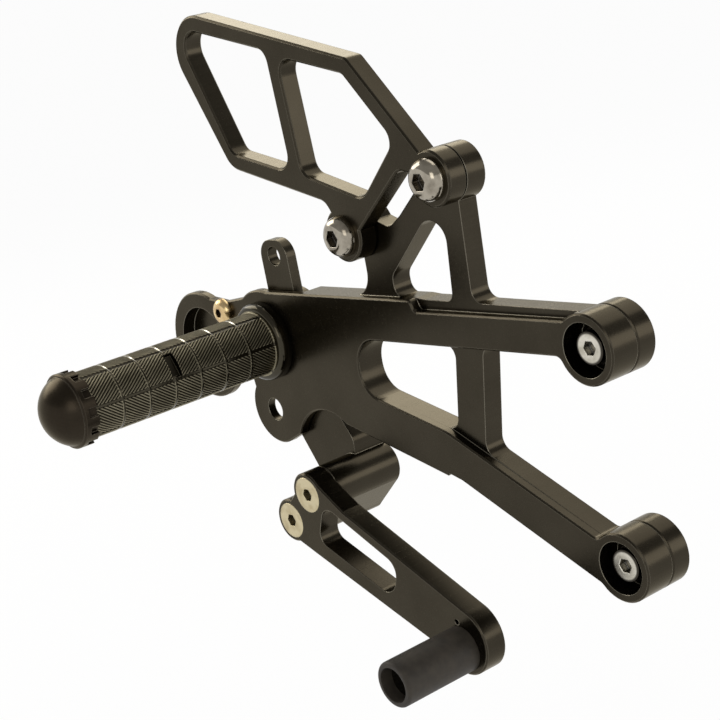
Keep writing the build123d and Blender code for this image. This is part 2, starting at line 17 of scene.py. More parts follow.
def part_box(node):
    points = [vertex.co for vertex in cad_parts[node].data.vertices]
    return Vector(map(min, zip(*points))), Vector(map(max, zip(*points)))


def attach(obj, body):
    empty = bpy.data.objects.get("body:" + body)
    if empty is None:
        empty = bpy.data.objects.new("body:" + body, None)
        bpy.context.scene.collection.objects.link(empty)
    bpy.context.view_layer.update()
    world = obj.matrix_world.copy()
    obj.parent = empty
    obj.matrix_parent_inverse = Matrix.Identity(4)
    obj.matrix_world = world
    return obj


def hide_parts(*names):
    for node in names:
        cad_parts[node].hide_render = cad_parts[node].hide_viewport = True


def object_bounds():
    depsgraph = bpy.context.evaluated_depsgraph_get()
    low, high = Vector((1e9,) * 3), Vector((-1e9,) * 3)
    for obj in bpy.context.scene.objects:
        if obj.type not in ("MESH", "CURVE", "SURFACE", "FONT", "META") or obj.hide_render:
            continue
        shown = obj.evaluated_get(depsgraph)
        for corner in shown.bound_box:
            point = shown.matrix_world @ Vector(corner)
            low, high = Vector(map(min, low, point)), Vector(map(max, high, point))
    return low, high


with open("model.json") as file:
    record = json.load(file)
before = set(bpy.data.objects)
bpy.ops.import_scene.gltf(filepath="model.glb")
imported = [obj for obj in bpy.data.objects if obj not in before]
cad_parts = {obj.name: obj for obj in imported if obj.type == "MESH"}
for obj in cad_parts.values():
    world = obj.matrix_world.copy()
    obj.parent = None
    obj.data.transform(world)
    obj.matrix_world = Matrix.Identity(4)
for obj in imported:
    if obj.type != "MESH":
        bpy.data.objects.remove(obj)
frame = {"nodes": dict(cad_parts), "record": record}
nodes = frame["nodes"]
subparts = frame["record"]["subparts"]
cad_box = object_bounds()
scene = bpy.context.scene
MM = 0.001
QUARTER_TURN = math.radians(90)

# %% [markdown]
# ## The camera
# The picture looks at the set from its front, outboard and a little above, with the camera tipped
# to one side. A camera can be aimed by hand, but the angles say more: azimuth and elevation give the
# line of sight, roll gives the tip, and the distance is measured to a point on the bracket's face.

# %% Place the camera
VIEW_AZIMUTH = math.radians(53.19)
VIEW_ELEVATION = math.radians(13.15)
VIEW_ROLL = math.radians(-11.14)
VIEW_TARGET = Vector((-0.1009, -0.018, 0.0227))
VIEW_DISTANCE = 0.5606
LENS_MM = 88.0
NEAR_CLIP = 0.01


def line_of_sight(azimuth, elevation):
    """Unit vector from what is looked at back to the camera."""
    flat = math.cos(elevation)
    return Vector((math.sin(azimuth) * flat, -math.cos(azimuth) * flat, math.sin(elevation)))


camera_data = bpy.data.cameras.new("camera")
camera_data.lens = LENS_MM
camera_data.clip_start = NEAR_CLIP
camera = bpy.data.objects.new("camera", camera_data)
scene.collection.objects.link(camera)
to_camera = line_of_sight(VIEW_AZIMUTH, VIEW_ELEVATION)
level = (-to_camera).to_track_quat("-Z", "Y").to_matrix()
camera.matrix_world = (
    Matrix.Translation(VIEW_TARGET + to_camera * VIEW_DISTANCE)
    @ (level @ Matrix.Rotation(VIEW_ROLL, 3, "Z")).to_4x4()
)
scene.camera = camera
print("camera at", [round(c, 4) for c in camera.location])

# %% [markdown]
# ## Writing shaders as sums
# A finish is a small graph of nodes. Adding each node by hand hides the idea behind it, so one class
# wraps a socket: sums and products of sockets add Math nodes, and one method adds any other node.
# Sockets go by name, apart from those of nodes that use one name several times: they go by place.

# %% A socket that can be added and multiplied
MIX_FACTOR, MIX_LOW, MIX_HIGH, MIX_RESULT = 0, 6, 7, 2


class Wire:
    """An output socket of a material's graph that takes part in arithmetic."""

    def __init__(self, tree, socket=None):
        self.tree = tree
        self.socket = socket

    def node(self, kind, settings=None, sockets=None, out=0):
        """Add a node: its settings first, then the values or links of its sockets."""
        made = self.tree.nodes.new("ShaderNode" + kind)
        for key, value in (settings or {}).items():
            setattr(made, key, value)
        for key, value in (sockets or {}).items():
            if isinstance(value, Wire):
                self.tree.links.new(value.socket, made.inputs[key])
            else:
                made.inputs[key].default_value = value
        return Wire(self.tree, made.outputs[out])

    def math(self, operation, left, right):
        return self.node("Math", {"operation": operation}, {0: left, 1: right})

    def mix(self, low, high):
        """The colour low where this value is 0 and the colour high where it is 1."""
        sockets = {MIX_FACTOR: self, MIX_LOW: low, MIX_HIGH: high}
        return self.node("Mix", {"data_type": "RGBA"}, sockets, out=MIX_RESULT)

    def between(self, low, high):
        """This value stretched so that low becomes 0 and high becomes 1, held to that range."""
        return self.node("MapRange", {}, {"Value": self, "From Min": low, "From Max": high})

    def __add__(self, other):
        return self.math("ADD", self, other)

    def __sub__(self, other):
        return self.math("SUBTRACT", self, other)

    def __rsub__(self, other):
        return self.math("SUBTRACT", other, self)

    def __mul__(self, other):
        return self.math("MULTIPLY", self, other)

    __radd__ = __add__
    __rmul__ = __mul__


def colour(red, green, blue):
    return (red, green, blue, 1.0)


print("shader arithmetic is ready")


# %% [markdown]
# ## What every finish shares
# Each finish needs a place on the piece to hang its pattern on, so the object's own coordinates are
# used: they stay with the piece when it moves. Noise stretched along one axis gives tool marks, and
# the Bevel node compares a softened normal with the true one, which finds the edges; their colour is
# a painted highlight together with wear from handling and tumbling, and on the spacers it is painted
# shade. Noise scales are in waves per metre.

# %% Helpers for the finishes
EDGE_RADIUS = 0.45 * MM
EDGE_TURN = (0.01, 0.16)
OPEN_SKY = (0.25, 0.85)
RAY_SAMPLES = 8
NOISE_MEAN = 0.5
FINE_GRAIN = 2600.0
EVEN = (1.0, 1.0, 1.0)
ACROSS_Y = (1.0, 0.0, 1.0)


def new_finish(name):
    """A new material with its shader node and a Wire to build on."""
    material = bpy.data.materials.new(name)
    material.use_nodes = True
    shader = material.node_tree.nodes["Principled BSDF"]
    return material, shader, Wire(material.node_tree)


def feed(wire, shader, socket):
    wire.tree.links.new(wire.socket, shader.inputs[socket])


def place_on_piece(start):
    return start.node("TexCoord", out="Object")


def noise(start, scale, detail=2.0, stretch=EVEN):
    """Noise that hangs on the piece, squeezed or stretched along the axes."""
    place = start.node("Mapping", {}, {"Vector": place_on_piece(start), "Scale": stretch})
    return start.node("TexNoise", {}, {"Vector": place, "Scale": scale, "Detail": detail})


def off_axis(start, place, axis):
    """Distance of a place from the line along Y through a point of an axis."""
    aside = start.node("VectorMath", {"operation": "SUBTRACT"}, {0: place, 1: axis})
    across = start.node("VectorMath", {"operation": "MULTIPLY"}, {0: aside, 1: ACROSS_Y})
    return start.node("VectorMath", {"operation": "LENGTH"}, {0: across}, out="Value")


def soft_normal(start):
    """The normal with every edge rounded, so that edges catch the light as real ones do."""
    return start.node("Bevel", {"samples": RAY_SAMPLES}, {"Radius": EDGE_RADIUS})


def edges(start, rounded):
    """1 on the edges of a piece and 0 on its faces."""
    true_normal = start.node("NewGeometry", out="True Normal")
    sockets = {0: rounded, 1: true_normal}
    along = start.node("VectorMath", {"operation": "DOT_PRODUCT"}, sockets, out="Value")
    return (1 - along).between(*EDGE_TURN)


def painted_recess_shade(start, reach):
    """Mask for painted shade: 0 deep in a socket or groove of the piece itself and 1 on its open faces."""
    settings = {"samples": RAY_SAMPLES, "only_local": True}
    open_sky = start.node("AmbientOcclusion", settings, {"Distance": reach}, out="AO")
    return open_sky.between(*OPEN_SKY)


def bumped(start, height, strength, depth, normal):
    sockets = {"Strength": strength, "Distance": depth, "Height": height, "Normal": normal}
    return start.node("Bump", {}, sockets)


print("finish helpers are ready")


# %% [markdown]
# ## Black anodised aluminium
# The plates are milled from bar, blasted and anodised. The coat is black with a warm brown cast,
# satin rather than shiny. Three scales of noise make it: slow drifts of tone, the grain of the
# blasting, and the faint lines that the side of the cutter leaves on the edges of a plate. Painted
# shade darkens the corners and hollows of each piece toward black.

# %% Anodised finish
ANODISED_METAL = 0.95
WARM_GLANCE = colour(0.86, 0.82, 0.73)
UNLIT = colour(0.0, 0.0, 0.0)
DRIFT_SCALE = 45.0
CUTTER_SCALE = 900.0
CUTTER_STRETCH = (1.0, 0.04, 1.0)
CORNER_REACH = 2.0 * MM
BLAST_STRENGTH = 0.05
BLAST_DEPTH = 0.05 * MM


def anodised(name, dark, light, edge_tone, roughness):
    material, shader, start = new_finish(name)
    rounded = soft_normal(start)
    rim = edges(start, rounded)
    drift = noise(start, DRIFT_SCALE, detail=3.0)
    speckle = noise(start, FINE_GRAIN)
    cutter = noise(start, CUTTER_SCALE, stretch=CUTTER_STRETCH)
    tone = (0.6 * drift + 0.25 * speckle + 0.15 * cutter).between(0.3, 0.7)
    # Painted shade: the colour darkens toward black in the corners and hollows of the piece.
    painted_corner_shade = 0.4 + 0.6 * painted_recess_shade(start, CORNER_REACH)
    clean = painted_corner_shade.mix(UNLIT, tone.mix(dark, light))
    # On the plates and the cap the edge colour is a painted highlight together with wear; on the spacers it
    # is painted shade.
    feed((0.5 * rim).mix(clean, edge_tone), shader, "Base Color")
    grain = 0.1 * (speckle - NOISE_MEAN) + 0.08 * (cutter - NOISE_MEAN)
    feed(roughness + grain - 0.06 * rim, shader, "Roughness")
    height = 0.6 * speckle + 0.4 * cutter
    feed(bumped(start, height, BLAST_STRENGTH, BLAST_DEPTH, rounded), shader, "Normal")
    shader.inputs["Metallic"].default_value = ANODISED_METAL
    shader.inputs["Specular Tint"].default_value = WARM_GLANCE
    return material


PLATE_DARK, PLATE_LIGHT = colour(0.031, 0.026, 0.018), colour(0.049, 0.042, 0.030)
CAP_DARK, CAP_LIGHT = colour(0.022, 0.017, 0.012), colour(0.036, 0.029, 0.020)
# Lighter edge colours: painted highlight together with wear from handling.
EDGE_HIGHLIGHT_AND_WEAR, CAP_EDGE_HIGHLIGHT_AND_WEAR = colour(0.36, 0.33, 0.26), colour(0.16, 0.14, 0.11)
# Dark edge colour of the spacers: painted shade along their seam with the bosses.
SPACER_SEAM_SHADE = colour(0.010, 0.008, 0.006)
plate_black = anodised("plate_black", PLATE_DARK, PLATE_LIGHT, EDGE_HIGHLIGHT_AND_WEAR, 0.25)
spacer_black = anodised("spacer_black", PLATE_DARK, PLATE_LIGHT, SPACER_SEAM_SHADE, 0.24)
cap_black = anodised("cap_black", CAP_DARK, CAP_LIGHT, CAP_EDGE_HIGHLIGHT_AND_WEAR, 0.30)
print("made", [m.name for m in (plate_black, spacer_black, cap_black)])


# %% [markdown]
# ## Turned black
# The smooth bands of the footpeg come straight from the lathe and mirror far more than the blasted
# plates. Their own pattern is only the fine mark of the tool, so one noise stretched round the axis
# is enough. On top of the rings a painted highlight lays a bright metal colour.

# %% Turned finish
LATHE_SCALE = 3000.0
LATHE_STRETCH = (0.04, 1.0, 0.04)
TURNED_DARK, TURNED_LIGHT = colour(0.036, 0.032, 0.022), colour(0.058, 0.051, 0.036)
TURNED_ROUGHNESS = 0.13
# Painted highlight: the bright colour laid on top of the smooth rings.
RING_GLINT_METAL = colour(0.62, 0.59, 0.50)


def turned(name, wear_and_glint=None):
    """Turned black, with a painted highlight of bright metal colour where the given function gives 1."""
    material, shader, start = new_finish(name)
    lathe = noise(start, LATHE_SCALE, stretch=LATHE_STRETCH)
    body = lathe.mix(TURNED_DARK, TURNED_LIGHT)
    feed(wear_and_glint(start).mix(body, RING_GLINT_METAL) if wear_and_glint else body, shader, "Base Color")
    feed(TURNED_ROUGHNESS + 0.08 * (lathe - NOISE_MEAN), shader, "Roughness")
    shader.inputs["Metallic"].default_value = ANODISED_METAL
    return material


peg_smooth = turned("peg_smooth")
print("made", peg_smooth.name)


# %% [markdown]
# ## Plated fasteners
# The screws are zinc plated: the button heads bright, the countersunk heads dull and creamy, the
# small bolt at the back yellow. Plating is smooth on the crown of a head, a slow noise stains it a
# little, and painted shade keeps the hexagon sockets dark; the sunk bolts also get painted shade
# outside the crown of each head. The hidden bushes are bare bronze, which the same pattern suits.

# %% Plated finish
MOUNT_Z = 32.0 * MM
# Painted shade round each sunk bolt's head begins at the first radius and is full at the second.
UNSHADED_CROWN_R, SHADED_RIM_R = 3.9 * MM, 4.4 * MM
# Colour of the painted shade round the sunk bolts' heads and on their washers.
RIM_SHADE = colour(0.045, 0.040, 0.032)
# Colour of the painted shade in the sockets and hollows of every plated piece.
SOCKET_SHADE = colour(0.030, 0.032, 0.036)
SOCKET_REACH = 3.0 * MM
STAIN_SCALE = 300.0
STAIN_MEAN = 0.25
SCUFF_SCALE = 1800.0
SCUFF_STRENGTH = 0.05
SCUFF_DEPTH = 0.02 * MM


def shaded_rim(start, body):
    """Painted shade round the rim of the sunk bolts, outside the unshaded crown of each head."""
    either_bolt = start.node("VectorMath", {"operation": "ABSOLUTE"}, {0: place_on_piece(start)})
    radius = off_axis(start, either_bolt, (0.0, 0.0, MOUNT_Z))
    return radius.between(UNSHADED_CROWN_R, SHADED_RIM_R).mix(body, RIM_SHADE)


def plated(name, clean, stained, roughness, painted_shade_of=None):
    """A plated metal; the function given last, where given, adds painted shade to its colour."""
    material, shader, start = new_finish(name)
    stain = noise(start, STAIN_SCALE, detail=3.0).between(0.4, 0.75)
    scuff = noise(start, SCUFF_SCALE)
    body = stain.mix(clean, stained)
    if painted_shade_of:
        body = painted_shade_of(start, body)
    # Painted shade: hollows such as the hexagon sockets darken toward this colour.
    feed(painted_recess_shade(start, SOCKET_REACH).mix(SOCKET_SHADE, body), shader, "Base Color")
    patches = 0.1 * (scuff - NOISE_MEAN) + 0.08 * (stain - STAIN_MEAN)
    feed(roughness + patches, shader, "Roughness")
    surface = bumped(start, scuff, SCUFF_STRENGTH, SCUFF_DEPTH, soft_normal(start))
    feed(surface, shader, "Normal")
    shader.inputs["Metallic"].default_value = 1.0
    return material


zinc = plated("zinc", colour(0.52, 0.47, 0.39), colour(0.36, 0.32, 0.25), 0.16)
sunk_zinc = plated("sunk_zinc", colour(0.64, 0.61, 0.53), colour(0.40, 0.37, 0.30), 0.22, shaded_rim)
cream_zinc = plated("cream_zinc", colour(0.62, 0.54, 0.35), colour(0.46, 0.38, 0.22), 0.40)
guard_zinc = plated("guard_zinc", colour(0.37, 0.335, 0.275), colour(0.22, 0.195, 0.155), 0.15)
yellow_zinc = plated("yellow_zinc", colour(0.74, 0.56, 0.30), colour(0.48, 0.32, 0.15), 0.26)
bush_bronze = plated("bush_bronze", colour(0.58, 0.38, 0.17), colour(0.36, 0.22, 0.10), 0.38)
print("made", [m.name for m in (zinc, sunk_zinc, cream_zinc, guard_zinc, yellow_zinc, bush_bronze)])


# %% [markdown]
# ## Rubber of the toe peg
# The sleeve is plain moulded rubber: dark, matt, with a faint bloom of dust and a fine grain. It is
# no metal, so its shine is weak and broad.

# %% Rubber finish
RUBBER_DARK, RUBBER_BLOOM = colour(0.032, 0.027, 0.021), colour(0.062, 0.052, 0.040)
RUBBER_SHINE = 0.35
BLOOM_SCALE = 220.0
MOULD_SCALE = 3200.0
MOULD_STRENGTH = 0.3
MOULD_DEPTH = 0.05 * MM


def moulded_rubber(name):
    material, shader, start = new_finish(name)
    bloom = noise(start, BLOOM_SCALE, detail=4.0).between(0.35, 0.75)
    grain = noise(start, MOULD_SCALE)
    feed(bloom.mix(RUBBER_DARK, RUBBER_BLOOM), shader, "Base Color")
    feed(0.5 + 0.15 * grain + 0.08 * bloom, shader, "Roughness")
    feed(bumped(start, grain, MOULD_STRENGTH, MOULD_DEPTH, soft_normal(start)), shader, "Normal")
    shader.inputs["Specular IOR Level"].default_value = RUBBER_SHINE
    return material


rubber = moulded_rubber("rubber")
print("made", rubber.name)

# %% [markdown]
# ## Finishes on the solids
# The record names a material slot for every piece, so the finish follows from the slot and no piece
# can be forgotten. Some pieces share a slot with their neighbours but look different: the cap is
# darker, the guard screws are a darker zinc, the sunk bolts and their washers carry painted shade
# outside the crown of each head, and painted shade darkens the edges of a spacer for its seam with the boss.

# %% Put the finishes on
SIDES = ("upper", "lower")
FINISH_OF_SLOT = {
    "black_anodised": plate_black,
    "peg_anodised": peg_smooth,
    "zinc_steel": zinc,
    "cream_zinc": cream_zinc,
    "yellow_zinc": yellow_zinc,
    "bronze": bush_bronze,
    "black_rubber": rubber,
}
FINISH_OF_PIECE = {"footpeg_cap": cap_black}
for side in SIDES:
    FINISH_OF_PIECE["heel_guard_screw_" + side] = guard_zinc
    FINISH_OF_PIECE["mount_spacer_" + side] = spacer_black
    FINISH_OF_PIECE["mount_bolt_" + side] = sunk_zinc
    FINISH_OF_PIECE["mount_washer_" + side] = sunk_zinc
for piece in subparts:
    materials = nodes[piece["node"]].data.materials
    materials.clear()
    materials.append(FINISH_OF_PIECE.get(piece["node"], FINISH_OF_SLOT[piece["material_slot"]]))
print("finished", len(subparts), "solids")

# %% [markdown]
# ## Skins made of rings
# The footpeg and the screws are turned pieces, so both are built in the same way: rings of points one
# after another along the piece, triangles that join each ring to the next, and a fan of triangles over
# each end. The centres of the two fans are the last two points.


# %% Join rings of points
def ring_skin(rings, columns, leans_left=lambda column: True):
    """Triangles over rings that follow each other toward -Y; leans_left picks a patch's diagonal."""
    triangles = []
    for ring in range(rings - 1):
        for column in range(columns):
            a = ring * columns + column
            b = ring * columns + (column + 1) % columns
            c, d = a + columns, b + columns
            triangles += [(a, b, c), (b, d, c)] if leans_left(column) else [(a, b, d), (a, d, c)]
    last, centre = (rings - 1) * columns, rings * columns
    sides = [(column, (column + 1) % columns) for column in range(columns)]
    triangles += [(centre, b, a) for a, b in sides]
    triangles += [(centre + 1, last + a, last + b) for a, b in sides]
    return triangles


def add_piece(name, points, triangles, finishes):
    """An object in the scene made of these triangles."""
    mesh = bpy.data.meshes.new(name)
    mesh.from_pydata(points, [], triangles)
    for finish in finishes:
        mesh.materials.append(finish)
    made = bpy.data.objects.new(name, mesh)
    scene.collection.objects.link(made)
    return made


print("a skin of 3 rings of 4 points has", len(ring_skin(3, 4)), "triangles")

# %% [markdown]
# ## The knurled footpeg
# A boot grips the peg by its knurl: two families of V grooves wind round the bar, and in each of the
# six panels one family is cut deeper, in turn left and right. A displacement map could fake it, but
# the outline of the bar shows the teeth, so they are real. The bar is a grid wrapped round the peg's
# axis, and each point sinks below the bar's surface by the depth of the groove there. Five grid steps
# make one groove: its valley falls on a point, and its ridge is the narrow flat between two.

# %% Sizes of the footpeg
PEG_AXIS = Vector(frame["record"]["behaviour"]["joints"][0]["pos_m"])
peg_low, peg_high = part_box("footpeg")
PEG_BASE = peg_high.y
PEG_LEN = peg_high.y - peg_low.y
PEG_R = 11.0 * MM
FLANGE_R = 13.5 * MM
FLANGE_T = 4.5 * MM
FLANGE_ROUND = 2.0 * MM
ROUND_STEPS = 6
BOLT_BORE_R, BOLT_BORE_DEPTH = 4.03 * MM, 21.0 * MM
CAP_BORE_R, CAP_BORE_DEPTH = 5.03 * MM, 13.0 * MM
PANELS = 6
PANEL_STEPS = 52
FIRST_GROOVE = math.radians(3.0)
GROOVE_HALF = 2
GROOVE_DEPTH = 0.5 * MM
LANDS = 7
LAND_STEPS = 34
RING_HALF = 1
RING_DEPTH = 0.12 * MM
SLOT_FROM, SLOT_TO = 42.1 * MM, 45.5 * MM
SLOT_TURN = math.radians(30.0)
SLOT_HALF = 4.2 * MM
SLOT_FLOOR = 9.0 * MM
KNURL_DEPTH = 0.45 * MM
KNURL_FAINT = 0.2
KNURL_STEPS = 5
AROUND = PANELS * PANEL_STEPS
ALONG = LANDS * LAND_STEPS
BAR_STEP = (PEG_LEN - FLANGE_T) / ALONG
print("peg", round(PEG_LEN / MM, 1), "mm long, knurl pitch", round(KNURL_STEPS * BAR_STEP / MM, 2), "mm")


# %% Depth of the pattern at a point of the bar
def turn_of(column):
    return FIRST_GROOVE + math.tau * column / AROUND


def leans_left(column):
    """Whether the deeper grooves of the column's panel wind to the left."""
    return (column // PANEL_STEPS) % 2 == 0


def groove_shape(steps):
    """1 on the line of a V groove and 0 midway to the next one."""
    return abs(2 * ((steps / KNURL_STEPS) % 1.0) - 1)


def ring_distance(row):
    """Steps from a row to the nearest ring groove between two lands."""
    nearest = min(max(round(row / LAND_STEPS), 1), LANDS - 1)
    return abs(row - nearest * LAND_STEPS)


def in_slot(row, aside):
    """Whether a spot of the bar, turned aside from the slot's middle, lies in the slot."""
    within_length = SLOT_FROM <= FLANGE_T + row * BAR_STEP <= SLOT_TO
    return within_length and math.cos(aside) > 0 and abs(PEG_R * math.sin(aside)) <= SLOT_HALF


def bar_radius(row, column):
    """Distance from the peg's axis to the bar's surface, and whether the spot is smooth."""
    aside = turn_of(column) - SLOT_TURN
    if in_slot(row, aside):
        return SLOT_FLOOR / math.cos(aside), True
    if ring_distance(row) <= RING_HALF:
        return PEG_R - RING_DEPTH, True
    if min(column % PANEL_STEPS, -column % PANEL_STEPS) <= GROOVE_HALF:
        return PEG_R - GROOVE_DEPTH, True
    if row in (0, ALONG):
        return PEG_R, False
    deep, faint = groove_shape(row + column), groove_shape(row - column)
    if not leans_left(column):
        deep, faint = faint, deep
    return PEG_R - KNURL_DEPTH * max(deep, KNURL_FAINT * faint), False


first_row = [bar_radius(1, column)[0] for column in range(PANEL_STEPS)]
print("pattern from", round(min(first_row) / MM, 2), "to", round(max(first_row) / MM, 2), "mm off the axis")


# %% [markdown]
# ## Finish of the knurl
# The tone of the knurl follows its height: nearly black in the grooves and lighter on the ridges,
# with random patches and grain there. The height needs no texture: it is the distance of a spot from
# the peg's axis. On top of the smooth rings a painted highlight makes short bright marks of metal colour.
# On the smooth rings soles reach only the top, so there the bare metal shows as short bright marks.

# %% Knurl finish
GROOVE_TONE, RIDGE_TONE = colour(0.010, 0.008, 0.005), colour(0.32, 0.29, 0.205)
GROOVE_LEVEL = PEG_R - 0.8 * KNURL_DEPTH
RIDGE_LEVEL = PEG_R - 0.25 * KNURL_DEPTH
WEAR_SCALE = 160.0
GRIT_STRENGTH = 0.12
GRIT_DEPTH = 0.04 * MM
# Heights over the peg's axis where the painted highlight on the rings fades in.
GLINT_FROM, GLINT_TO = 0.88 * PEG_R, 0.95 * PEG_R
FLANGE_FADE = 0.5 * MM


def knurled(name):
    material, shader, start = new_finish(name)
    radius = off_axis(start, place_on_piece(start), PEG_AXIS)
    ridge = radius.between(GROOVE_LEVEL, RIDGE_LEVEL)
    wear_and_glint = noise(start, WEAR_SCALE, detail=3.0).between(0.2, 0.8)
    grit = noise(start, FINE_GRAIN)
    ridge_share = ridge * (0.4 + 0.5 * wear_and_glint + 0.2 * grit)
    feed(ridge_share.mix(GROOVE_TONE, RIDGE_TONE), shader, "Base Color")
    feed(0.3 + 0.12 * grit - 0.05 * ridge, shader, "Roughness")
    feed(bumped(start, grit, GRIT_STRENGTH, GRIT_DEPTH, soft_normal(start)), shader, "Normal")
    shader.inputs["Metallic"].default_value = ANODISED_METAL
    shader.inputs["Specular Tint"].default_value = WARM_GLANCE
    return material


def ring_glint_top(start):
    """1 on top of the bar's smooth rings, where a highlight is painted, and 0 elsewhere."""
    place = place_on_piece(start)
    up = start.node("SeparateXYZ", {}, {"Vector": place}, out="Z") - PEG_AXIS.z
    along = PEG_BASE - FLANGE_T - start.node("SeparateXYZ", {}, {"Vector": place}, out="Y")
    return up.between(GLINT_FROM, GLINT_TO) * along.between(0.0, FLANGE_FADE)


peg_rings = turned("peg_rings", ring_glint_top)
peg_knurl = knurled("peg_knurl")
print("made", peg_rings.name, peg_knurl.name)


# %% Build the footpeg
def peg_rows():
    """Rows from the bolt's bore over the flange and the bar into the cap's bore, and the bar's first.

    A row is its reach from the peg's base and its radius, which is None where the pattern gives it.
    """
    rows = [(BOLT_BORE_DEPTH, BOLT_BORE_R), (0.0, BOLT_BORE_R), (0.0, FLANGE_R)]
    for step in range(ROUND_STEPS + 1):
        turn = QUARTER_TURN * step / ROUND_STEPS
        reach = FLANGE_T - FLANGE_ROUND * (1 - math.sin(turn))
        rows.append((reach, FLANGE_R - FLANGE_ROUND * (1 - math.cos(turn))))
    first_bar_row = len(rows)
    rows += [(FLANGE_T + row * BAR_STEP, None) for row in range(ALONG + 1)]
    rows += [(PEG_LEN, CAP_BORE_R), (PEG_LEN - CAP_BORE_DEPTH, CAP_BORE_R)]
    return rows, first_bar_row


def point_of_peg(reach, radius, turn):
    aside, up = radius * math.cos(turn), radius * math.sin(turn)
    return PEG_AXIS.x + aside, PEG_BASE - reach, PEG_AXIS.z + up


def make_footpeg():
    rows, first_bar_row = peg_rows()
    points, smooth = [], []
    for index, (reach, radius) in enumerate(rows):
        for column in range(AROUND):
            here, plain = (radius, True) if radius else bar_radius(index - first_bar_row, column)
            points.append(point_of_peg(reach, here, turn_of(column)))
            smooth.append(plain)
    for end in (rows[0], rows[-1]):
        points.append(point_of_peg(end[0], 0.0, 0.0))
        smooth.append(True)
    triangles = ring_skin(len(rows), AROUND, leans_left)
    made = add_piece("knurled_footpeg", points, triangles, (peg_knurl, peg_rings))
    for face in made.data.polygons:
        if all(smooth[corner] for corner in face.vertices):
            face.material_index = 1
            face.use_smooth = True
    return made


footpeg = make_footpeg()
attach(footpeg, "bracket")
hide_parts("footpeg")
print("footpeg has", len(footpeg.data.polygons), "triangles")

# %% [markdown]
# ## Screws with a thread
# Five screws end in the open behind the plates, where their thread can be seen. Their rings run from
# the socket's floor over the head and along the shank to the tip. On the thread the radius also follows
# the turn, which winds the groove round as a helix, and in the socket it follows the sides of a
# hexagon. The grip, hidden in its hole, is plain.

# %% Sizes of the screws
SCREW_COLUMNS = 48
CROWN_STEPS = 8
ROWS_PER_PITCH = 8
SOCKET_SHARE = 0.6
THREAD_SHARE = 0.55
THREAD_FLAT = 0.1
HEXAGON_SIDE = math.radians(60)
SHARP_ANGLE = math.radians(32)


def in_metres(**millimetres):
    return {name: size * MM for name, size in millimetres.items()}


MOUNT_SCREW = in_metres(
    head=4.0, crown_width=0.4, crown_height=0.4, flats=4.0,
    grip_r=2.7, thread_r=3.0, thread_from=0.0, pitch=1.0, tip=0.6,
)
GUARD_SCREW = in_metres(
    head=4.4, crown_width=3.5, crown_height=3.9, flats=5.0,
    grip_r=3.6, thread_r=4.0, thread_from=-8.0, pitch=1.25, tip=0.8,
)
LUG_SCREW = in_metres(
    head=2.75, crown_width=2.7, crown_height=2.4, flats=3.0,
    grip_r=2.2, thread_r=2.5, thread_from=-15.0, pitch=0.8, tip=0.5,
)
print("thread pitches", [size["pitch"] / MM for size in (MOUNT_SCREW, GUARD_SCREW, LUG_SCREW)], "mm")


# %% Rings of a screw
def round_ring(radius):
    return lambda turn: radius


def hexagon_ring(flats):
    return lambda turn: flats / 2 / math.cos(turn % HEXAGON_SIDE - HEXAGON_SIDE / 2)


def thread_ring(size, place):
    """Radius of the thread at a place along the screw, for each turn."""
    def radius(turn):
        wind = (place - size["thread_from"]) / size["pitch"] - turn / math.tau
        tooth = abs(2 * (wind % 1.0) - 1)
        cut = min(max((tooth - THREAD_FLAT) / (1 - 2 * THREAD_FLAT), 0.0), 1.0)
        return size["thread_r"] - THREAD_SHARE * size["pitch"] * cut
    return radius


def screw_rings(size, front, back, head_r):
    """Places along a screw, each with the function that gives the radius for a turn."""
    socket, grip = hexagon_ring(size["flats"]), round_ring(size["grip_r"])
    rings = [(front + SOCKET_SHARE * size["head"], socket), (front, socket)]
    for step in range(CROWN_STEPS + 1):
        turn = QUARTER_TURN * step / CROWN_STEPS
        place = front + size["crown_height"] * (1 - math.cos(turn))
        rings.append((place, round_ring(head_r - size["crown_width"] * (1 - math.sin(turn)))))
    seat, start = front + size["head"], size["thread_from"]
    rings += [(seat, round_ring(head_r)), (seat, grip), (start, grip)]
    length = back - size["tip"] - start
    count = round(length / size["pitch"] * ROWS_PER_PITCH)
    for row in range(count + 1):
        place = start + length * row / count
        rings.append((place, thread_ring(size, place)))
    return rings + [(back, round_ring(size["thread_r"] - size["tip"]))]


print("a thread ring spans", [round(thread_ring(MOUNT_SCREW, 0.0)(turn) / MM, 2) for turn in (0.0, math.pi)])


# %% Build the screws
def make_screw(node, size):
    """A screw in the place and finish of its solid, with the head as wide and the shank as long."""
    low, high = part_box(node)
    middle = (low + high) / 2
    rings = screw_rings(size, low.y, high.y, (high.x - low.x) / 2)
    points = []
    for place, radius in rings:
        for column in range(SCREW_COLUMNS):
            turn = math.tau * column / SCREW_COLUMNS
            aside, up = radius(turn) * math.cos(turn), radius(turn) * math.sin(turn)
            points.append((middle.x + aside, place, middle.z + up))
    points += [(middle.x, end[0], middle.z) for end in (rings[0], rings[-1])]
    # These rings run toward +Y, so the skin's triangles are turned over.
    triangles = [(a, c, b) for a, b, c in ring_skin(len(rings), SCREW_COLUMNS)]
    made = add_piece("threaded_" + node, points, triangles, nodes[node].data.materials[:])
    for face in made.data.polygons:
        face.use_smooth = True
    made.data.set_sharp_from_angle(angle=SHARP_ANGLE)
    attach(made, "bracket")
    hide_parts(node)
    return made


screws = [make_screw("mount_bolt_" + side, MOUNT_SCREW) for side in SIDES]
screws += [make_screw("heel_guard_screw_" + side, GUARD_SCREW) for side in SIDES]
screws.append(make_screw("rear_lug_bolt", LUG_SCREW))
print("screws have", [len(screw.data.polygons) for screw in screws], "triangles")

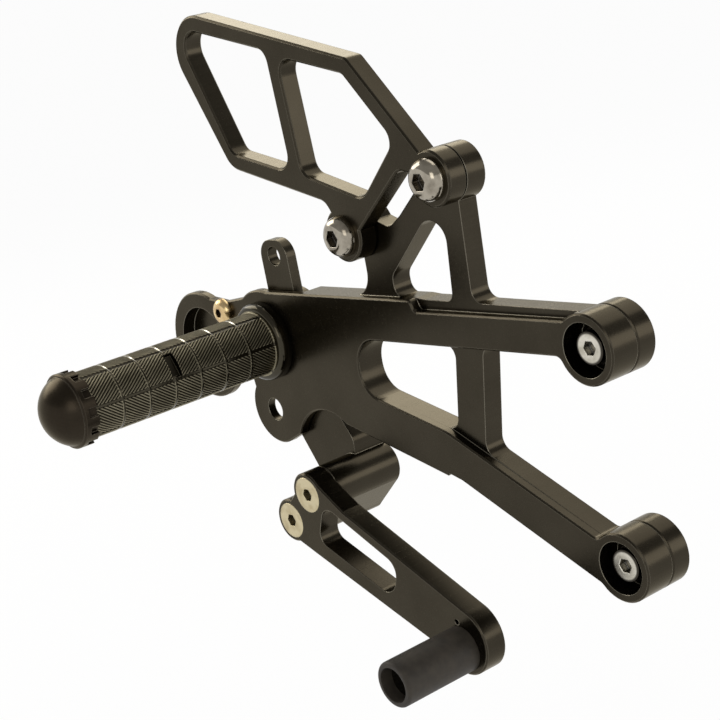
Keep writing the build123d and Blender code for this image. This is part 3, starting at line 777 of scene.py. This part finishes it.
# %% [markdown]
# ## Stage
# The set is shown on plain white. A round floor that curves up into a low wall all about it has no
# horizon line from any side. Rays from the camera, and the ones mirrored or passed through, see it
# nearly white, while it lights the set as a pale grey card does and keeps a soft shadow. The floor
# lies low enough for the brake lever to swing down over it. One profile, spun round the upright axis,
# makes it.

# %% Floor and wall
FLOOR_DROP = 35.0 * MM
FLOOR_R = 3.0
SWEEP_R = 1.2
WALL_HEIGHT = 1.6
SWEEP_STEPS = 16
SPIN_STEPS = 72
WELD_DISTANCE = 0.1 * MM


def bowl_profile():
    """Distance from the middle and height of the floor, its curve and the wall."""
    points = [(0.0, 0.0), (FLOOR_R, 0.0)]
    for step in range(1, SWEEP_STEPS + 1):
        turn = QUARTER_TURN * step / SWEEP_STEPS
        points.append((FLOOR_R + SWEEP_R * math.sin(turn), SWEEP_R * (1 - math.cos(turn))))
    points.append((FLOOR_R + SWEEP_R, WALL_HEIGHT))
    return points


def make_stage():
    shape = bmesh.new()
    ground = Vector((VIEW_TARGET.x, VIEW_TARGET.y, cad_box[0].z - FLOOR_DROP))
    line = [shape.verts.new(ground + Vector((reach, 0, height))) for reach, height in bowl_profile()]
    profile = line + [shape.edges.new(pair) for pair in zip(line, line[1:])]
    bmesh.ops.spin(
        shape, geom=profile, cent=ground, axis=(0, 0, 1), angle=math.tau, steps=SPIN_STEPS, use_merge=True
    )
    bmesh.ops.remove_doubles(shape, verts=shape.verts, dist=WELD_DISTANCE)
    for face in shape.faces:
        face.smooth = True
    mesh = bpy.data.meshes.new("stage")
    shape.to_mesh(mesh)
    shape.free()
    made = bpy.data.objects.new("stage", mesh)
    scene.collection.objects.link(made)
    return made


stage = make_stage()
print("stage has", len(stage.data.polygons), "faces")


# %% Paper of the stage
PAPER_TONE = colour(0.80, 0.80, 0.80)
PAPER_ROUGHNESS = 0.9
WHITE = colour(1.0, 1.0, 1.0)
WHITE_SHARE = 0.96


def white_where_seen(name):
    """Pale paper that camera, mirrored and passed rays see mostly as plain white."""
    material, shader, start = new_finish(name)
    shader.inputs["Base Color"].default_value = PAPER_TONE
    shader.inputs["Roughness"].default_value = PAPER_ROUGHNESS
    shader.inputs["Specular IOR Level"].default_value = 0.0
    seen = start.node("LightPath", out="Is Camera Ray")
    for ray in ("Is Glossy Ray", "Is Transmission Ray"):
        seen = start.math("MAXIMUM", seen, start.node("LightPath", out=ray))
    plain = start.node("Emission", {}, {"Color": WHITE, "Strength": 1.0})
    paper = Wire(material.node_tree, shader.outputs["BSDF"])
    both = start.node("MixShader", {}, {0: WHITE_SHARE * seen, 1: paper, 2: plain})
    feed(both, material.node_tree.nodes["Material Output"], "Surface")
    return material


stage.data.materials.append(white_where_seen("paper"))
print("stage is covered with", stage.data.materials[0].name)

# %% [markdown]
# ## Light
# Soft studio light on black metal is mostly a matter of what the metal mirrors. Lamps high at the back
# and above brighten the upper faces, the strongest one at the left draws the chamfers as thin bright
# lines, weaker ones at the right and the front model the round pieces, and the world fills the rest
# evenly.

# %% Lamps and world
LAMP_DISTANCE = 1.2
FRONT_DISTANCE = 1.35
LAMP_TINT = (1.0, 0.97, 0.91)
FRONT_TINT = (1.0, 0.97, 0.92)
SKY_TINT = colour(1.0, 0.99, 0.97)
SKY_STRENGTH = 0.38


def soft_lamp(name, toward, side, power, distance=LAMP_DISTANCE, tint=LAMP_TINT):
    """A square lamp in a direction from the set, turned to face it."""
    data = bpy.data.lights.new(name, "AREA")
    data.shape = "SQUARE"
    data.size = side
    data.energy = power
    data.color = tint
    lamp = bpy.data.objects.new(name, data)
    lamp.location = VIEW_TARGET + Vector(toward).normalized() * distance
    lamp.rotation_mode = "QUATERNION"
    lamp.rotation_quaternion = (VIEW_TARGET - lamp.location).to_track_quat("-Z", "Y")
    scene.collection.objects.link(lamp)


soft_lamp("lamp_back", (-0.55, 0.58, 0.60), side=0.5, power=3.2)
soft_lamp("lamp_top", (0.0, 0.55, 0.83), side=0.9, power=3.5)
soft_lamp("lamp_left", (-0.80, -0.20, 0.57), side=0.7, power=7.0)
soft_lamp("lamp_right", (0.80, 0.58, 0.12), side=0.5, power=1.4)
soft_lamp("lamp_front", (0.66, -0.66, 0.36), side=0.6, power=2.0, distance=FRONT_DISTANCE, tint=FRONT_TINT)

world = bpy.data.worlds.new("studio")
world.use_nodes = True
sky = world.node_tree.nodes["Background"]
sky.inputs["Color"].default_value = SKY_TINT
sky.inputs["Strength"].default_value = SKY_STRENGTH
scene.world = world
scene.view_settings.view_transform = "Standard"
